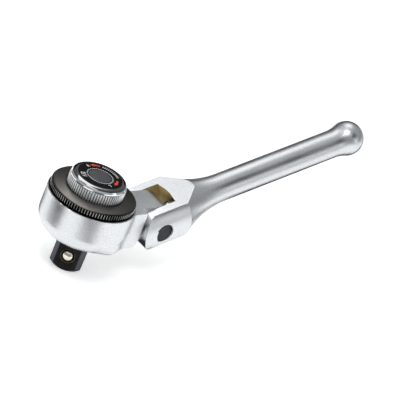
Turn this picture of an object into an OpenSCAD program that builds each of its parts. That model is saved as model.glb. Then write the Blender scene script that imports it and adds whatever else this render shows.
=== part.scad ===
// Flex head ratchet with a round, knurled quick-release head and a slim turned handle.
// Millimetres. The origin is the centre of the drive square's end face, +Z runs up the
// drive axis to the selector, and +X runs towards the handle.

/* [Drive square] */
// Width across the flats of the drive square
drive_size = 12.7; // [11:0.1:14]
// Flat cut off each corner of the square
drive_chamfer = 1.4; // [0.5:0.1:2]
// Length of the square below the head
drive_len = 13.9; // [12:0.1:17]
// Radius of the turned end, where its bevel begins
drive_end_r = 6; // [5:0.1:6.5]
// Turn of the square about the drive axis, in degrees
drive_turn = -49; // [-90:0.5:90]
// Radius of the ball that holds the socket
ball_r = 2.5; // [1.8:0.1:2.8]
// Height of the ball's centre above the end face
ball_z = 6.4; // [5:0.1:7]
// How far the ball stands out of its face
ball_proud = 0.9; // [0.5:0.1:1.2]

/* [Head] */
// Outer radius of the drum
drum_r = 18; // [17:0.05:20]
// Height of the drum
drum_h = 17.7; // [16:0.1:22]
// Rounding of the drum's bottom edge
drum_round = 7.6; // [4:0.1:10]
// Wall between the tooth roots and the outside
drum_wall = 4; // [3:0.05:4.5]
// Thickness of the floor under the mechanism
floor_t = 3.6; // [3:0.1:5]
// Thickness of the thrust washer
washer_t = 0.6; // [0.4:0.1:1]
// Number of teeth in the drum
tooth_count = 72; // [36:12:72]
// Depth of the teeth
tooth_depth = 0.6; // [0.4:0.05:0.7]

/* [Neck and hinge] */
// Width of the neck behind the drum
neck_w = 19.3; // [16:0.1:22]
// Step from the drum's top down to the neck's top
neck_drop = 3.7; // [2:0.1:6]
// Distance from the drive axis to the neck's end
neck_reach = 23.4; // [21:0.1:26]
// Blend radius between the drum and the neck
neck_fillet = 6.5; // [2:0.1:8]
// Height of the neck
neck_h = 15.9; // [12:0.1:17]
// Lean of the drum's underside down to the neck, in degrees
belly_lean = 12.5; // [8:0.5:16]
// How far the drum's underside stays above the neck's
belly_rise = 0.6; // [0.2:0.1:1.2]
// Rounding of the drum's lower edge beside the neck
belly_round = 4.5; // [2:0.1:6]
// Rounding of the neck's lower rear corner
neck_corner = 3; // [1:0.1:5]
// Width of the tongue that carries the hinge
tongue_w = 12; // [9:0.1:14]
// Radius of the tongue's round end
eye_r = 8.3; // [6:0.1:9]
// Radius of the hinge pin
pin_r = 3.55; // [2.5:0.05:4]
// Room between the tongue's neck and the handle's fork
fork_room = 0.85; // [0.6:0.05:2]
// Angle of the handle above straight, as it rests
flex_rest = 17.7; // [0:0.1:60]

/* [Handle] */
// Radius of the turned body round the fork
fork_r = 12.7; // [11:0.1:15]
// Thickness of the fork across its flats
fork_flats = 16.9; // [15:0.1:19]
// Radius of the fork's round nose
fork_nose = 9.45; // [8.8:0.05:10]
// Radius of the flare from the fork to the bar
flare_r = 45; // [20:1:60]
// Radius of the bar
bar_r = 5.75; // [4.5:0.05:7]
// Distance from the hinge to where the bar begins
bar_start = 36.5; // [34:0.1:45]
// Radius of the round end
knob_r = 7.2; // [6.5:0.1:8.4]
// Radius of the blend from the bar to the round end
knob_fillet = 17; // [5:1:30]
// Distance from the hinge to the handle's end
handle_len = 108.4; // [80:0.1:160]
// Radius of the plunger that steadies the hinge
plunger_r = 2.5; // [1.5:0.1:3]
// Length of the plunger
plunger_len = 9.6; // [7:0.1:11]

/* [Spinner ring] */
// Outer radius of the ring
ring_r = 17.3; // [15:0.1:20]
// Height of the grooved edge
ring_edge = 2.5; // [2:0.1:4]
// Rise of the top from the edge to the dial
ring_rise = 0.7; // [0.4:0.1:1.4]
// Number of grooves in the edge
ring_grooves = 96; // [48:8:120]
// Depth of the grooves
ring_groove = 0.35; // [0.1:0.05:0.5]

/* [Selector] */
// Outer radius of the selector dial
dial_r = 11.5; // [10.5:0.1:13]
// Height of the knurled part
dial_h = 4.7; // [4.5:0.1:6]
// Number of ridges in the knurl
dial_ridges = 66; // [36:2:90]
// Depth of the knurl
dial_knurl = 0.35; // [0.1:0.05:0.5]
// Height of the plain rim above the knurl
dial_rim = 1.4; // [1:0.1:2]
// Dark gap between the dial and the spinner ring
dial_gap = 0.8; // [0.4:0.1:1.2]
// Radius of the cap's foot
cap_r = 10.85; // [10.5:0.05:11]
// Thickness of the cap above the dial
cap_t = 0.65; // [0.5:0.05:1]
// Rounding of the cap's edge
cap_round = 2.2; // [1.2:0.1:3]
// Radius of the flat label in the cap
label_r = 9.1; // [8:0.1:9.2]
// Depth of the label below the cap's top
label_sink = 0.15; // [0.05:0.05:0.3]
// Angle between the two directions
select_turn = 40; // [36:1:44]

/* [Quick release] */
// Radius of the button
button_r = 4.85; // [4.7:0.05:5.2]
// How far the button stands above the label
button_proud = 0.1; // [0.1:0.1:1.5]
// Travel of the button
button_travel = 2; // [1.6:0.1:2.1]
// Radius of the rod that frees the ball
rod_r = 2.2; // [2:0.05:2.3]
// Wire radius of the release spring
release_wire = 0.4; // [0.25:0.05:0.45]

/* [Mechanism] */
// Radius of each pawl's eye
pawl_eye = 1.9; // [1.7:0.1:2]
// Radius of the pawl pins
pawl_pin_r = 1; // [0.8:0.05:1.1]
// Swing of a pawl out of the teeth, in degrees
pawl_lift = 9.5; // [9:0.1:11]
// Thickness of the deck that carries the pawls
deck_t = 1.45; // [1.2:0.05:2]
// Thickness of the cover over the pawls
cover_t = 1.3; // [1.1:0.1:1.8]
// Thickness of the retaining ring
clip_t = 1; // [0.6:0.1:1.2]
// Depth of the retaining ring's groove
clip_bite = 1; // [0.5:0.1:1.5]
// Height of the dust seal
seal_t = 2.2; // [1:0.1:2.6]
// Radius of the cam's hollow stem
stem_r = 6; // [5.8:0.05:6.2]
// Radius of the detent ball
detent_r = 1; // [0.8:0.05:1.05]

/* [Hidden] */
$fn = 96;

// Clearances: a running fit, a pressed or seated fit, and the air between bodies
run = 0.05;
seat = 0.02;
air = 0.1;
clear = 0.3;
over = 1;

// Levels, from the drive's end face up
z_bottom = drive_len;
z_top = z_bottom + drum_h;
z_floor = z_bottom + floor_t;
z_flange = z_floor + washer_t + run;
z_deck = z_flange + deck_t;
mouth_recess = 1.1;
z_seal = z_top - mouth_recess - seal_t;
z_clip = z_seal - 2*air - clip_t;
z_cover_top = z_clip - air;
z_cover = z_cover_top - cover_t;
z_pawl = z_deck + air;
pawl_h = z_cover - air - z_pawl;
z_ring = z_top + clear;
ring_floor = 2.3;
ring_bevel = 0.3;
z_spigot = z_ring + ring_floor;
z_dial = z_spigot + air;
z_rim = z_dial + dial_h;
z_cap = z_rim + dial_rim;
z_cap_top = z_cap + cap_t;
z_label = z_cap_top - label_sink;
z_button_top = z_label + button_proud;

// Radii inside the drum
root_r = drum_r - drum_wall;
tip_r = root_r - tooth_depth;
carrier_gap = 0.4;
carrier_r = tip_r - carrier_gap;
half_drive = drive_size/2;
journal_step = 0.5;
journal_r = norm([half_drive, half_drive - drive_chamfer]) + journal_step;
mouth_bevel = 0.4;
collar_step = 0.8;
detent_wall = 0.7;
detent_orbit = stem_r + run + detent_wall + detent_r;
detent_rise = 0.45;
detent_depth = 1.6;
z_detent = z_ring - detent_depth;
detent_wire = 0.18;
spigot_r = detent_orbit + detent_r + detent_wall;
collar_r = spigot_r + collar_step;
bore_r = root_r + run;
clip_r = bore_r + clip_bite;

// Pawls: each turns on a pin near the drum's wall, with its teeth ahead and its tail behind
pawl_bearing = 60;
tip_bearing = 30;
tip_half = 4;
pivot_r = carrier_r - pawl_eye - air;
nose_depth = 2.3;
nose_r = carrier_r - nose_depth;
tail_nose = 0.9;
tail_drop = 2.6;
tail_bearing = -30;
mesh_gap = 0.1;
cam_gap = 0.15;
pawl_pivot = polar(pivot_r, 0);
tail_end = polar(pivot_r - tail_drop, tail_bearing);
tail_lifted = turned(tail_end, pawl_pivot, pawl_lift);
cam_low = norm(tail_end) - tail_nose - cam_gap;
cam_high = norm(tail_lifted) - tail_nose - cam_gap;
tail_place = pawl_bearing + tail_bearing;
pin_root = 1;
pin_tip = 0.9;
spring_wire = 0.45;
spring_lap = 2;
spring_bearing = pawl_bearing + tip_bearing - spring_lap;
land_room = 1.2;
land_r = nose_r - land_room;
land_half = 62;
post_half = 14;
spring_orbit = land_r - spring_wire - clear - air;

// Cover screws: one on the small land and two on the large one
screw_r = 0.8;
screw_head = 1.2;
screw_orbit = (collar_r + carrier_r)/2;
screw_bearings = [0, 150, 210];
screw_hex = 0.55;
hex_depth = 0.7;

// Quick release
ball_orbit = half_drive + ball_proud - ball_r;
ball_turn = drive_turn - 90;
ball_sink = 0.6;
cone_slope = 0.5;
cone_start = ball_z - (ball_r*norm([1, cone_slope]) - (ball_orbit - rod_r))/cone_slope - air;
cone_len = button_travel;
groove_r = rod_r - cone_slope*cone_len;
groove_end = ball_z + button_travel + ball_r;
groove_lead = 0.5;
rod_bevel = 0.3;
rod_tail = 2;
rod_foot = cone_start - rod_tail;
rod_floor = rod_foot - button_travel - clear;
flange_w = 0.8;
flange_t = 0.6;
hook_drop = 0.4;
z_hook = z_rim - hook_drop;
z_flange_low = z_hook - air - flange_t;
z_stem_top = z_flange_low - button_travel - 2*air;
stem_wall = 1.6;
well_r = stem_r - stem_wall;
well_rise = 1;
z_well = z_cover_top + well_rise;
button_crown = 1.5;
button_bevel = 0.3;
rod_top = z_button_top - button_crown;

// Dial: the groove above its knurl, its rim and the seat of the cap
dial_bevel = 0.35;
rim_groove = 0.7;
rim_step = 0.2;
cap_ledge = 1.4;
seat_r = cap_r - cap_ledge;

// Neck and hinge
neck_top = z_top - neck_drop;
pivot_z = neck_top - eye_r;
pivot_x = neck_reach + fork_nose + fork_room;
neck_bottom = neck_top - neck_h;
belly_bottom = neck_bottom + belly_rise;
belly_start = -drum_r/4;
belly_inset = 0.3;
belly_r = drum_r - belly_inset;
fillet_x = sqrt(pow(drum_r + neck_fillet, 2) - pow(neck_w/2 + neck_fillet, 2));

// Handle, measured from the hinge along its own axis
slot_w = tongue_w + 2*air;
slot_room = 0.6;
slot_end = eye_r + slot_room;
scoop_slope = 1.66;
scoop_break = 0.75;
scoop_tip = slot_end + scoop_break + fork_flats/2/scoop_slope;
plunger_nose = eye_r + air;
plunger_end = plunger_nose + plunger_len;
plunger_room = 9;
plunger_bore = plunger_end + plunger_room;
plunger_wire = 0.45;
knob_at = handle_len - knob_r;
fillet_at = knob_at - sqrt(pow(knob_fillet + knob_r, 2) - pow(knob_fillet + bar_r, 2));
pin_sink = 0.6;
pin_bevel = 0.4;

function polar(r, a) = [r*cos(a), r*sin(a)];
function turned(p, about, a) =
    about + [(p - about)[0]*cos(a) - (p - about)[1]*sin(a), (p - about)[0]*sin(a) + (p - about)[1]*cos(a)];

// A ring of points that steps between two radii, for teeth and knurls
function star(count, high, low) =
    [for (i = [0:2*count - 1]) polar(i % 2 == 0 ? high : low, 180*i/count)];

// The cam's radius at a bearing, falling evenly from its lobe over one full turn of the selector
function cam_radius(a) =
    let (away = max(-tail_place - a, a + select_turn - tail_place, 0))
    cam_low + (cam_high - cam_low)*max(0, 1 - away/select_turn);

// Rounds of a coil: a tube of six sides along a helix
function coil_point(orbit, wire, z0, rise, turns, i, j) =
    let (a = 45*i, b = 60*j, r = orbit + wire*cos(b))
    [r*cos(a), r*sin(a), z0 + rise*i/(8*turns) + wire*sin(b)];

module at_height(z, h) translate([0, 0, z]) linear_extrude(h) children();

module disc(r, z0, z1) translate([0, 0, z0]) cylinder(r=r, h=z1 - z0);

// A rod across the part, along Y
module cross_rod(r, length, x=0, z=0)
    translate([x, 0, z]) rotate([90, 0, 0]) cylinder(r=r, h=length, center=true);

// A flat bar between two points
module link(p, q, w)
    translate(p) rotate(atan2((q - p)[1], (q - p)[0])) translate([0, -w/2]) square([norm(q - p), w]);

// A sector between two bearings, cut wide of the part
module sector(a0, a1, reach=60)
    polygon(concat([[0, 0]], [for (i = [0:4]) polar(reach, a0 + (a1 - a0)*i/4)]));

module coil(orbit, wire, z0, z1, turns) {
    low = z0 + wire;
    rise = z1 - z0 - 2*wire;
    rings = 8*turns;
    walls = [for (i = [0:rings - 1], j = [0:5])
        let (a = 6*i + j, b = 6*i + (j + 1) % 6)
        each [[a, b, b + 6], [a, b + 6, a + 6]]];
    ends = concat([for (j = [1:4]) [0, j + 1, j]], [for (j = [1:4]) [6*rings, 6*rings + j, 6*rings + j + 1]]);
    polyhedron([for (i = [0:rings], j = [0:5]) coil_point(orbit, wire, low, rise, turns, i, j)],
               [for (f = concat(walls, ends)) [f[0], f[2], f[1]]]);
}

// Places what is drawn along +Z on the handle's own axis
module on_handle() translate([pivot_x, 0, pivot_z]) rotate([0, 90 - flex_rest, 0]) children();

module drum_profile() {
    translate([0, z_bottom]) square([drum_r - drum_round, drum_h]);
    translate([0, z_bottom + drum_round]) square([drum_r, drum_h - drum_round - mouth_bevel]);
    translate([0, z_top - over]) square([drum_r - mouth_bevel, over]);
    intersection() {
        translate([drum_r - drum_round, z_bottom + drum_round]) circle(drum_round);
        translate([0, z_bottom]) square([drum_r, 2*drum_round]);
    }
}

module neck_plan() {
    translate([0, -neck_w/2]) square([neck_reach, neck_w]);
    for (side = [-1, 1])
        difference() {
            polygon([[0, 0], [fillet_x, 0], [fillet_x, side*(neck_w/2 + neck_fillet)]]);
            translate([fillet_x, side*(neck_w/2 + neck_fillet)]) circle(neck_fillet);
        }
}

// Side view of the neck: x to the right, z up
module neck_side() {
    polygon([[0, neck_top], [neck_reach, neck_top], [neck_reach, neck_bottom + neck_corner],
             [neck_reach - neck_corner, neck_bottom], [drum_r, neck_bottom],
             [drum_r - drum_round, belly_bottom + air], [0, belly_bottom + air]]);
    translate([neck_reach - neck_corner, neck_bottom + neck_corner]) circle(neck_corner);
}

// End view of the neck: its lower corners follow the drum's rounding
module neck_end() {
    corner = drum_r - drum_round;
    translate([-corner, neck_bottom]) square([2*corner, neck_top - neck_bottom]);
    translate([-drum_r, neck_bottom + drum_round]) square([2*drum_r, neck_top - neck_bottom - drum_round]);
    for (side = [-1, 1])
        translate([side*corner, neck_bottom + drum_round]) circle(drum_round);
}

// The drum's side view beside the neck, with its smaller rounding: radius to the right, z up
module belly_profile() {
    translate([0, belly_bottom]) square([belly_r - belly_round, drum_round]);
    translate([0, belly_bottom + belly_round]) square([belly_r, drum_round]);
    intersection() {
        translate([belly_r - belly_round, belly_bottom + belly_round]) circle(belly_round);
        translate([0, belly_bottom]) square([belly_r, 2*belly_round]);
    }
}

// End view of the drum's lower half, y across and depth to the right
module belly_end() {
    corner = belly_r - drum_round;
    translate([-drum_round, -corner]) square([drum_round, 2*corner]);
    translate([-drum_round - over, -belly_r]) square([over, 2*belly_r]);
    intersection() {
        for (side = [-1, 1])
            translate([-drum_round, side*corner]) circle(drum_round);
        translate([-drum_round, -belly_r]) square([drum_round, 2*belly_r]);
    }
}

// The drum's underside beside the neck, which leans down to the neck's own
module drum_belly()
    intersection() {
        rotate_extrude() belly_profile();
        translate([belly_start, 0, z_bottom + 2*air]) rotate([0, 90 + belly_lean, 0])
            linear_extrude(drum_r + neck_corner) belly_end();
    }

module head_housing() color("silver")
    difference() {
        union() {
            rotate_extrude() drum_profile();
            drum_belly();
            intersection() {
                at_height(neck_bottom - over, neck_top - neck_bottom + 2*over) neck_plan();
                rotate([90, 0, 0]) linear_extrude(2*(neck_w + neck_fillet), center=true) neck_side();
                rotate([90, 0, 90]) linear_extrude(2*neck_reach, center=true) neck_end();
            }
            cross_rod(eye_r, tongue_w, pivot_x, pivot_z);
            translate([neck_reach - neck_corner - over, -tongue_w/2, neck_bottom])
                cube([pivot_x - neck_reach + neck_corner + over, tongue_w, neck_h]);
        }
        disc(journal_r + run, neck_bottom - over, z_floor + over);
        at_height(z_floor, z_cover_top - z_floor) polygon(star(tooth_count, root_r, tip_r));
        disc(bore_r, z_cover_top - air, z_top + over);
        disc(clip_r, z_clip - run, z_clip + clip_t + run);
        cross_rod(pin_r + run, tongue_w + over, pivot_x, pivot_z);
    }

module thrust_washer() color("goldenrod")
    difference() {
        disc(tip_r - air, z_floor, z_floor + washer_t);
        disc(journal_r + 2*air, z_floor - over, z_floor + over + washer_t);
    }

module retaining_ring() color("dimgray") {
    clip_in = collar_r + 2*air;
    lug_r = 0.5;
    gap_half = 14;
    lug_step = 7;
    difference() {
        disc(clip_r - run, z_clip, z_clip + clip_t);
        disc(clip_in, z_clip - over, z_clip + clip_t + over);
        at_height(z_clip - over, clip_t + 2*over) sector(180 - gap_half, 180 + gap_half);
        for (side = [-1, 1])
            rotate(180 + side*(gap_half + lug_step)) translate([(clip_in + clip_r)/2, 0, 0])
                disc(lug_r, z_clip - over, z_clip + clip_t + over);
    }
}

module dust_seal() color([0.1, 0.1, 0.1]) {
    inner = collar_r + air;
    outer = bore_r - seat;
    lip = (outer - inner)/3;
    rotate_extrude()
        polygon([[inner, z_seal], [outer, z_seal], [outer, z_seal + seal_t], [outer - lip, z_seal + seal_t],
                 [(inner + outer)/2, z_seal + seal_t/2], [inner + lip, z_seal + seal_t],
                 [inner, z_seal + seal_t]]);
}

module square_drive() {
    reach = z_bottom + over;
    flat = half_drive - drive_chamfer;
    intersection() {
        at_height(0, reach)
            polygon([for (q = [0:3], s = [-1, 1]) turned([half_drive, s*flat], [0, 0], 90*q)]);
        cylinder(r1=drive_end_r, r2=drive_end_r + reach, h=reach);
    }
}

// Blocks between the deck and the cover, clear of the pawls and the cam
module lands() {
    small_in = cam_high + 2*clear;
    at_height(z_deck - air, z_cover - z_deck + air) {
        intersection() {
            difference() { circle(carrier_r - air); circle(land_r); }
            sector(180 - land_half, 180 + land_half);
        }
        intersection() {
            difference() { circle(carrier_r - air); circle(small_in); }
            sector(-post_half, post_half);
        }
    }
}

module drive_spindle() color([0.13, 0.13, 0.13])
    difference() {
        union() {
            rotate(drive_turn) square_drive();
            disc(journal_r, z_bottom + clear, z_flange + air);
            disc(carrier_r, z_flange, z_deck);
            lands();
        }
        disc(rod_r + air, rod_floor, z_deck + over);
        rotate(ball_turn) translate([0, 0, ball_z]) rotate([0, 90, 0]) {
            cylinder(r=ball_r + run, h=half_drive + over);
            translate([0, 0, half_drive - ball_sink])
                cylinder(r1=ball_r + run, r2=ball_r + run + 2*ball_sink, h=2*ball_sink);
        }
        for (s = [-1, 1])
            rotate(s*pawl_bearing) translate([pivot_r, 0, 0])
                disc(pawl_pin_r + seat, z_deck - pin_root, z_deck + over);
        for (a = screw_bearings)
            rotate(a) translate([screw_orbit, 0, 0]) disc(screw_r + seat, z_deck, z_cover + over);
    }

module carrier_cover() color([0.35, 0.35, 0.37])
    difference() {
        union() {
            disc(carrier_r, z_cover, z_cover_top);
            disc(collar_r, z_cover_top - air, z_ring);
            disc(spigot_r, z_ring - air, z_spigot);
        }
        disc(stem_r + run, z_cover - over, z_spigot + over);
        for (s = [-1, 1])
            rotate(s*pawl_bearing) translate([pivot_r, 0, 0])
                disc(pawl_pin_r + seat, z_cover - over, z_cover + pin_tip);
        for (a = screw_bearings)
            rotate(a) translate([screw_orbit, 0, 0]) {
                disc(screw_r + run, z_cover - over, z_cover_top + over);
                translate([0, 0, z_cover_top - screw_head + screw_r])
                    cylinder(r1=screw_r + run, r2=screw_head + run, h=screw_head - screw_r);
                disc(screw_head + run, z_cover_top, z_cover_top + over);
            }
        rotate(180) translate([detent_orbit, 0, 0]) disc(detent_r + run, z_detent, z_spigot + over);
    }

module cover_screws() color("gray")
    for (a = screw_bearings)
        rotate(a) translate([screw_orbit, 0, 0])
            difference() {
                union() {
                    disc(screw_r - seat, z_deck + air, z_cover_top - run);
                    translate([0, 0, z_cover_top - run - screw_head + screw_r])
                        cylinder(r1=screw_r - seat, r2=screw_head - seat, h=screw_head - screw_r);
                }
                translate([0, 0, z_cover_top - hex_depth]) cylinder(r=screw_hex, h=over, $fn=6);
            }

module spinner_ring() color([0.16, 0.16, 0.17]) {
    well = dial_r + dial_gap;
    core_r = ring_r - ring_groove - air;
    z_brow = z_ring + ring_edge - ring_bevel;
    z_crown = z_ring + ring_edge + ring_rise;
    difference() {
        union() {
            rotate_extrude()
                polygon([[0, z_ring], [core_r, z_ring], [core_r, z_brow],
                         [core_r - ring_bevel, z_ring + ring_edge],
                         [well + ring_bevel, z_crown], [0, z_crown]]);
            at_height(z_ring + ring_bevel, ring_edge - 2*ring_bevel)
                polygon(star(ring_grooves, ring_r, ring_r - ring_groove));
        }
        disc(spigot_r + seat, z_ring - over, z_crown + over);
        disc(well, z_spigot, z_crown + over);
    }
}

// A pawl seen from above, engaged, with its pin on the X axis
module pawl_shape() {
    translate(pawl_pivot) circle(pawl_eye);
    translate(tail_end) circle(tail_nose);
    link(pawl_pivot, tail_end, 2*tail_nose);
    polygon([polar(pivot_r + pawl_eye - air, 1), polar(carrier_r - air, tip_bearing - tip_half),
             polar(carrier_r - air, tip_bearing + tip_half), polar(nose_r, tip_bearing + tip_half),
             polar(pivot_r - pawl_eye + air, 3)]);
    intersection() {
        polygon(star(tooth_count, root_r - mesh_gap, tip_r - mesh_gap));
        difference() {
            sector(tip_bearing - tip_half, tip_bearing + tip_half);
            circle(nose_r + over);
        }
    }
}

module pawl(lift)
    at_height(z_pawl, pawl_h)
        rotate(pawl_bearing)
            translate(pawl_pivot) rotate(lift) translate(-pawl_pivot)
                difference() {
                    pawl_shape();
                    translate(pawl_pivot) circle(pawl_pin_r + run);
                }

module pawl_right() color("slategray") pawl(0);

module pawl_left() color("slategray") mirror([0, 1, 0]) pawl(pawl_lift);

module pawl_pins() color("lightgray")
    for (s = [-1, 1])
        rotate(s*pawl_bearing) translate([pivot_r, 0, 0])
            disc(pawl_pin_r, z_deck - pin_root + seat, z_cover + pin_tip - seat);

// One open ring of wire whose ends push both pawls outwards
module pawl_spring() color("lightsteelblue")
    rotate(spring_bearing) translate([0, 0, z_pawl + pawl_h/2])
        rotate_extrude(angle=360 - 2*spring_bearing) translate([spring_orbit, 0]) circle(spring_wire);

module selector_cam() color("darkgray")
    difference() {
        union() {
            at_height(z_pawl, z_cover - z_pawl) polygon([for (a = [-180:4:176]) polar(cam_radius(a), a)]);
            disc(stem_r, z_cover - air, z_stem_top);
        }
        disc(rod_r + air, z_pawl - over, z_stem_top + over);
        disc(well_r, z_well, z_stem_top + over);
    }

// The arc under the dial that the detent ball runs in, from one direction to the other
module detent_slot() {
    half = detent_r + air;
    end = asin(half/detent_orbit);
    intersection() {
        difference() {
            circle(detent_orbit + half);
            circle(detent_orbit - half);
        }
        sector(180 - select_turn - end, 180 + end);
    }
}

module selector_dial() color([0.85, 0.85, 0.87]) {
    groove_r = dial_r - rim_groove;
    rim_r = dial_r - rim_step;
    difference() {
        union() {
            rotate_extrude()
                polygon([[0, z_dial], [groove_r, z_dial], [groove_r, z_rim + dial_bevel/2],
                         [rim_r, z_rim + dial_bevel],
                         [rim_r, z_rim + 2*dial_bevel], [cap_r, z_cap], [0, z_cap]]);
            at_height(z_dial + dial_bevel, dial_h - dial_bevel)
                polygon(star(dial_ridges, dial_r, dial_r - dial_knurl));
        }
        disc(stem_r + seat, z_dial - over, z_stem_top);
        disc(button_r + flange_w + air, z_stem_top - air, z_cap + over);
        disc(seat_r, z_hook, z_cap + over);
        at_height(z_dial - over, over + detent_rise + air) detent_slot();
    }
}

module selector_cap() color([0.05, 0.05, 0.05]) {
    shoulder_r = cap_r - sqrt(pow(cap_round, 2) - pow(cap_round - cap_t, 2));
    difference() {
        union() {
            rotate_extrude() intersection() {
                translate([0, z_cap]) square([cap_r + over, cap_t]);
                union() {
                    translate([shoulder_r, z_cap_top - cap_round]) circle(cap_round);
                    translate([0, z_cap]) square([shoulder_r, cap_t]);
                }
            }
            disc(seat_r - seat, z_hook, z_cap + air);
        }
        disc(label_r, z_label, z_cap_top + over);
        disc(button_r + air, z_hook - over, z_cap_top + over);
    }
}

module detent_ball() color("silver")
    rotate(180) translate([detent_orbit, 0, z_dial + detent_rise - detent_r]) sphere(detent_r);

module detent_spring() color("lightgray")
    rotate(180) translate([detent_orbit, 0, 0])
        coil(detent_r - detent_wire - air, detent_wire, z_detent + seat,
             z_dial + detent_rise - 2*detent_r, 3);

module release_button() color([0.2, 0.2, 0.2])
    difference() {
        union() {
            disc(button_r, z_hook - air, z_button_top - button_bevel);
            translate([0, 0, z_button_top - button_bevel])
                cylinder(r1=button_r, r2=button_r - button_bevel, h=button_bevel);
            disc(button_r + flange_w, z_flange_low, z_hook - air);
        }
        disc(rod_r + seat, z_flange_low - over, rod_top + seat);
    }

module release_rod() color("lightgray")
    rotate_extrude()
        polygon([[0, rod_foot], [rod_r - rod_bevel, rod_foot], [rod_r, rod_foot + rod_bevel],
                 [rod_r, cone_start],
                 [groove_r, cone_start + cone_len], [groove_r, groove_end], [rod_r, groove_end + groove_lead],
                 [rod_r, rod_top], [0, rod_top]]);

module release_spring() color("lightgray")
    coil((well_r + rod_r)/2, release_wire, z_well + seat, z_flange_low - seat, 6);

module locking_ball() color("white")
    rotate(ball_turn) translate([ball_orbit, 0, ball_z]) sphere(ball_r);

// Half of the handle's turned outline: radius to the right, length up
module handle_profile() {
    difference() {
        translate([0, -fork_nose]) square([fork_r, fork_nose + bar_start]);
        translate([bar_r + flare_r, bar_start]) circle(flare_r, $fn=256);
    }
    square([bar_r, knob_at]);
    difference() {
        polygon([[0, fillet_at], [bar_r + knob_fillet, fillet_at], [0, knob_at]]);
        translate([bar_r + knob_fillet, fillet_at]) circle(knob_fillet, $fn=128);
    }
    intersection() {
        translate([0, knob_at]) circle(knob_r);
        translate([0, knob_at - knob_r]) square([knob_r, 2*knob_r]);
    }
}

// Side outline of the fork: a round nose and two flats
module fork_side() {
    half = fork_flats/2;
    intersection() {
        circle(fork_nose);
        square([fork_flats, 2*fork_nose], center=true);
    }
    translate([-half, 0]) square([fork_flats, handle_len + over]);
}

module handle() color("silver") on_handle()
    difference() {
        intersection() {
            rotate_extrude() handle_profile();
            rotate([90, 0, 0]) linear_extrude(4*fork_r, center=true) fork_side();
        }
        translate([-fork_r, -slot_w/2, -fork_nose - over])
            cube([2*fork_r, slot_w, fork_nose + over + slot_end]);
        intersection() {
            translate([0, 0, slot_end - over])
                cylinder(r1=(scoop_tip - slot_end + over)*scoop_slope, r2=0, h=scoop_tip - slot_end + over);
            translate([-2*fork_r, -slot_w/2, 0]) cube([4*fork_r, slot_w, scoop_tip + over]);
        }
        disc(plunger_r + air, slot_end, plunger_bore);
        cross_rod(pin_r + seat, 3*fork_r);
        for (side = [-1, 1])
            rotate([side*90, 0, 0]) translate([0, 0, fork_r - pin_sink - pin_bevel])
                cylinder(r1=pin_r + seat, r2=pin_r + seat + 2*pin_bevel, h=2*pin_bevel);
    }

module pivot_pin() color([0.12, 0.12, 0.12]) on_handle()
    cross_rod(pin_r, 2*(fork_r - pin_sink));

module friction_plunger() color("lightgray") on_handle() {
    translate([0, 0, plunger_nose + plunger_r]) sphere(plunger_r);
    disc(plunger_r, plunger_nose + plunger_r, plunger_end);
}

module plunger_spring() color("lightgray") on_handle()
    coil(plunger_r - plunger_wire - 2*air, plunger_wire, plunger_end + seat, plunger_bore - seat, 5);

head_housing();
thrust_washer();
retaining_ring();
dust_seal();
drive_spindle();
carrier_cover();
cover_screws();
spinner_ring();
pawl_right();
pawl_left();
pawl_pins();
pawl_spring();
selector_cam();
selector_dial();
selector_cap();
detent_ball();
detent_spring();
release_button();
release_rod();
release_spring();
locking_ball();
handle();
pivot_pin();
friction_plunger();
plunger_spring();
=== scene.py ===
"""Looks of the flex head ratchet: finishes, soft edges, dial marks, studio and camera.

Metres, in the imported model's own frame: +Z runs up the drive axis, +X towards the handle.
"""
import logging
import math
from collections.abc import Callable
from dataclasses import dataclass, field, replace
from enum import Enum

import bmesh
import bpy
from mathutils import Matrix, Vector


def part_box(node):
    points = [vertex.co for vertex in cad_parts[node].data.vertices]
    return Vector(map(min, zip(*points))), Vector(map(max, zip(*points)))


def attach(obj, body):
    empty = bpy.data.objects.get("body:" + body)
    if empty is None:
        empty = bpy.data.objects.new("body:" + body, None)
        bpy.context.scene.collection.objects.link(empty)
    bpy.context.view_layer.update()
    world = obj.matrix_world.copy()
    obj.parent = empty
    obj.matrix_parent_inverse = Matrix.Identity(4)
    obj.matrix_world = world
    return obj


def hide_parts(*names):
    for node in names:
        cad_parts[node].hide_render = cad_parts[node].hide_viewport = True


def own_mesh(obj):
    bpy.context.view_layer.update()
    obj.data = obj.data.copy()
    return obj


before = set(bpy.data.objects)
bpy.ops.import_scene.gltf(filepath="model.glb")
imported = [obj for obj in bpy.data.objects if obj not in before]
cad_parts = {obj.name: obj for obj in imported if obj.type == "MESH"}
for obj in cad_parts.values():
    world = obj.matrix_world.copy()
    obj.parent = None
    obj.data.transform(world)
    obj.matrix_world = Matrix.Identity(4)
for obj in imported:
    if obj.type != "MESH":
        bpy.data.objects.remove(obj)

Tree = bpy.types.NodeTree
Socket = bpy.types.NodeSocket
Colour = tuple[float, float, float, float]

MM = 0.001
ORIGIN = Vector((0, 0, 0))
UP = Vector((0, 0, 1))
ACROSS = Vector((0, 1, 0))

# A width or a gap that counts as nothing.
HAIR = 0.001 * MM
# Corners of a solid's loose triangles that are closer than this are one point.
WELD = 0.002 * MM
# Edges that turn by more than this are rounded.
SHARP = math.radians(35)
# How far the shading beside a rounded edge leans to the larger face, where 50 is even.
FACE_WEIGHT = 100
# How many sides a round mark has.
ROUND = 144

# How many finer layers the noise of a finish's grain and of its broad drift has.
GRAIN_DETAIL = 2.0
DRIFT_DETAIL = 3.0
# The levels of the noise between which a finish goes from one look to another.
MOTTLE_LEVELS = (0.35, 0.7)
FLECK_LEVELS = (0.4, 0.65)
GLOSS_LEVELS = (0.3, 0.7)

# The Mix node's sockets go by number, because several have the same name.
MIX_SHARE = 0
FIRST_VALUE, SECOND_VALUE, MIXED_VALUE = 2, 3, 0
FIRST_COLOUR, SECOND_COLOUR, MIXED_COLOUR = 6, 7, 2

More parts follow.
